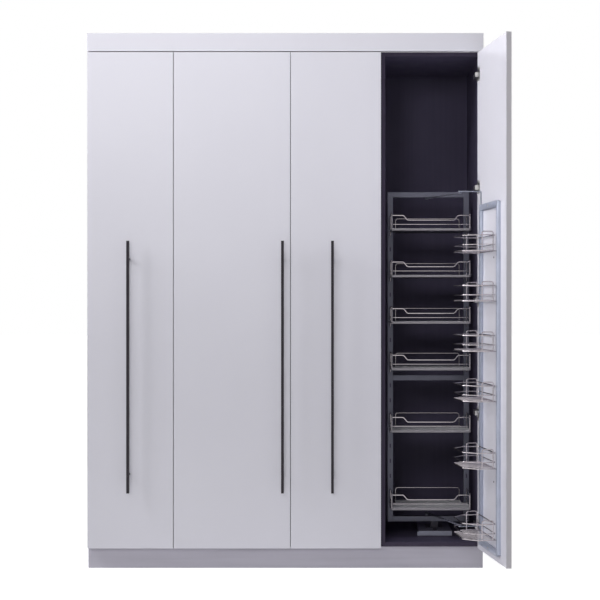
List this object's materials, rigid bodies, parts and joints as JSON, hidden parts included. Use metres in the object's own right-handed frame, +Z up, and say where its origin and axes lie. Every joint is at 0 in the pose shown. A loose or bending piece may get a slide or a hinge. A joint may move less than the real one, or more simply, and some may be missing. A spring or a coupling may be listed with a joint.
{
  "type": "pull-out pantry cabinet",
  "caption": "Tall fitted kitchen unit with plain doors and bar handles, and a pantry bay whose hinged door draws a frame of wire baskets forward.",
  "frame": {"origin": "on the floor, in the plane of the wall behind the unit, in the middle of its width", "axes": "+X to the right as seen from the front, +Y into the wall, +Z up; the front faces -Y"},
  "size_m": [1.8249, 1.0051, 2.36],
  "materials": {
    "carcass_board": "melamine-faced board, dark charcoal, matt",
    "front_board": "lacquered board, white, satin",
    "grey_board": "faced board, light grey, matt",
    "handle_black": "powder coat, black, matt",
    "nickel_steel": "nickel-plated steel, satin",
    "frame_steel": "powder coat, blue grey, satin",
    "basket_wire": "bright chromed steel wire"
  },
  "bodies": {
    "cabinet": {"plinth_front": "grey_board", "plinth_rails": "grey_board", "cornice_front": "front_board", "cornice_returns": "front_board", "bay_1_sides": "carcass_board", "bay_1_top_bottom": "carcass_board", "bay_1_back": "carcass_board", "bay_1_shelves": "carcass_board", "bay_2_sides": "carcass_board", "bay_2_top_bottom": "carcass_board", "bay_2_back": "carcass_board", "bay_2_shelves": "carcass_board", "bay_3_sides": "carcass_board", "bay_3_top_bottom": "carcass_board", "bay_3_back": "carcass_board", "bay_3_shelves": "carcass_board", "pantry_sides": "carcass_board", "pantry_top_bottom": "carcass_board", "pantry_back": "carcass_board", "shelf_pins": "nickel_steel", "hinge_arms": "nickel_steel", "wall_brackets": "nickel_steel", "runner_housing": "frame_steel", "runner_front_cap": "frame_steel"},
    "door_1": {"door_1_panel": "front_board", "door_1_handle": "handle_black", "door_1_hinge_cups": "nickel_steel"},
    "door_2": {"door_2_panel": "front_board", "door_2_handle": "handle_black", "door_2_hinge_cups": "nickel_steel"},
    "door_3": {"door_3_panel": "front_board", "door_3_handle": "handle_black", "door_3_hinge_cups": "nickel_steel"},
    "door_4": {"door_4_panel": "front_board", "door_4_handle": "handle_black", "door_4_hinge_cups": "nickel_steel", "rack_uprights": "frame_steel", "rack_rails": "frame_steel", "rack_screws": "nickel_steel", "link_brackets": "nickel_steel", "door_basket_1": "basket_wire", "door_basket_2": "basket_wire", "door_basket_3": "basket_wire", "door_basket_4": "basket_wire", "door_basket_5": "basket_wire", "door_basket_6": "basket_wire"},
    "pull_out": {"runner_carriage": "frame_steel", "frame_uprights": "frame_steel", "frame_rails": "frame_steel", "inner_trays": "grey_board", "inner_basket_1": "basket_wire", "inner_basket_2": "basket_wire", "inner_basket_3": "basket_wire", "inner_basket_4": "basket_wire", "inner_basket_5": "basket_wire", "inner_basket_6": "basket_wire"},
    "upper_link": {"upper_link": "frame_steel"},
    "lower_link": {"lower_link": "frame_steel"}
  },
  "joints": [
    {"name": "door_1_hinge", "type": "hinge", "parent": "cabinet", "child": "door_1", "pos_m": [-0.864, -0.568, 1.184], "axis": [0, 0, -1], "range_deg": [0, 99]},
    {"name": "door_2_hinge", "type": "hinge", "parent": "cabinet", "child": "door_2", "pos_m": [-0.484, -0.568, 1.184], "axis": [0, 0, -1], "range_deg": [0, 99]},
    {"name": "door_3_hinge", "type": "hinge", "parent": "cabinet", "child": "door_3", "pos_m": [0.414, -0.568, 1.184], "axis": [0, 0, 1], "range_deg": [0, 99]},
    {"name": "door_4_hinge", "type": "hinge", "parent": "cabinet", "child": "door_4", "pos_m": [0.864, -0.568, 1.184], "axis": [0, 0, 1], "range_deg": [-99, 0]},
    {"name": "pull_out_slide", "type": "slide", "parent": "cabinet", "child": "pull_out", "axis": [0, 1, 0], "range_m": [0, 0.1589]},
    {"name": "upper_link_pivot", "type": "hinge", "parent": "door_4", "child": "upper_link", "pos_m": [0.76266, -0.63771, 1.653], "axis": [0, 0, 1], "range_deg": [0, 107.6]},
    {"name": "lower_link_pivot", "type": "hinge", "parent": "door_4", "child": "lower_link", "pos_m": [0.76266, -0.63771, 0.205], "axis": [0, 0, 1], "range_deg": [0, 107.6]}
  ],
  "couplings": [
    {"joint": "pull_out_slide", "follows": "door_4_hinge", "m_per_rad": -0.091958},
    {"joint": "upper_link_pivot", "follows": "door_4_hinge", "ratio": -1.0858},
    {"joint": "lower_link_pivot", "follows": "door_4_hinge", "ratio": -1.0858}
  ]
}
